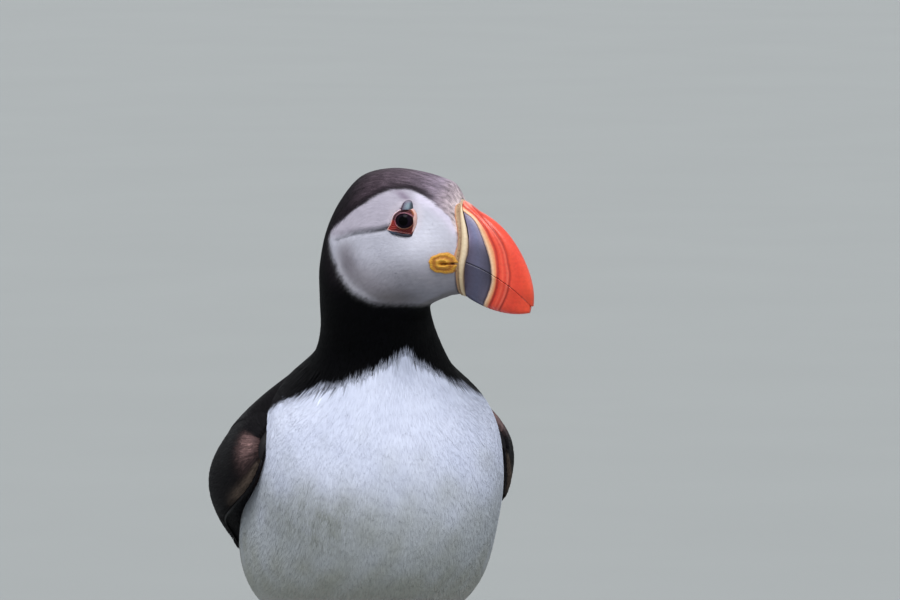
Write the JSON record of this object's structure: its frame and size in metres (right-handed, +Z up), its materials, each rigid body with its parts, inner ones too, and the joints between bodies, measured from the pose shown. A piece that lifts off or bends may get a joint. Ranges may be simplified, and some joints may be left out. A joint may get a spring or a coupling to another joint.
{
  "type": "atlantic puffin",
  "caption": "Life-size Atlantic puffin standing upright on webbed feet, wings folded, head turned to its left, with a deep triangular bill.",
  "frame": {"origin": "on the floor, at the middle of the base of the bird's bounding box, a little behind the ankles", "axes": "+Z up; -Y the way the breast faces; +X the bird's left. The bill points to its left of -Y by 49 degrees"},
  "size_m": [0.1186, 0.1811, 0.2176],
  "materials": {
    "white_plumage": "soft feathers, white with a faint bluish tint",
    "black_plumage": "soft feathers, brownish black",
    "grey_plumage": "fine short feathers, pale lavender grey",
    "red_bill": "satin horn, orange red, with a slate panel at its base",
    "cream_skin": "matt ribbed skin, cream",
    "yellow_skin": "matt folded skin, orange yellow",
    "blue_grey_horn": "matt horn, slate",
    "dark_eye": "polished, near black",
    "orange_leg_skin": "scaled skin, orange",
    "black_claw": "satin horn, black"
  },
  "bodies": {
    "root": {"trunk": "white_plumage", "mantle": "black_plumage", "neck": "black_plumage", "head": "grey_plumage", "crown": "black_plumage", "bill_upper": "red_bill", "bill_lower": "red_bill", "bill_rim": "cream_skin", "tail": "black_plumage", "rosette_left": "yellow_skin", "eye_left": "dark_eye", "eye_plate_upper_left": "blue_grey_horn", "eye_plate_lower_left": "blue_grey_horn", "wing_left": "black_plumage", "thigh_left": "white_plumage", "shank_left": "orange_leg_skin", "foot_left": "orange_leg_skin", "claw_inner_left": "black_claw", "claw_middle_left": "black_claw", "claw_outer_left": "black_claw", "rosette_right": "yellow_skin", "eye_right": "dark_eye", "eye_plate_upper_right": "blue_grey_horn", "eye_plate_lower_right": "blue_grey_horn", "wing_right": "black_plumage", "thigh_right": "white_plumage", "shank_right": "orange_leg_skin", "foot_right": "orange_leg_skin", "claw_inner_right": "black_claw", "claw_middle_right": "black_claw", "claw_outer_right": "black_claw"}
  },
  "joints": []
}
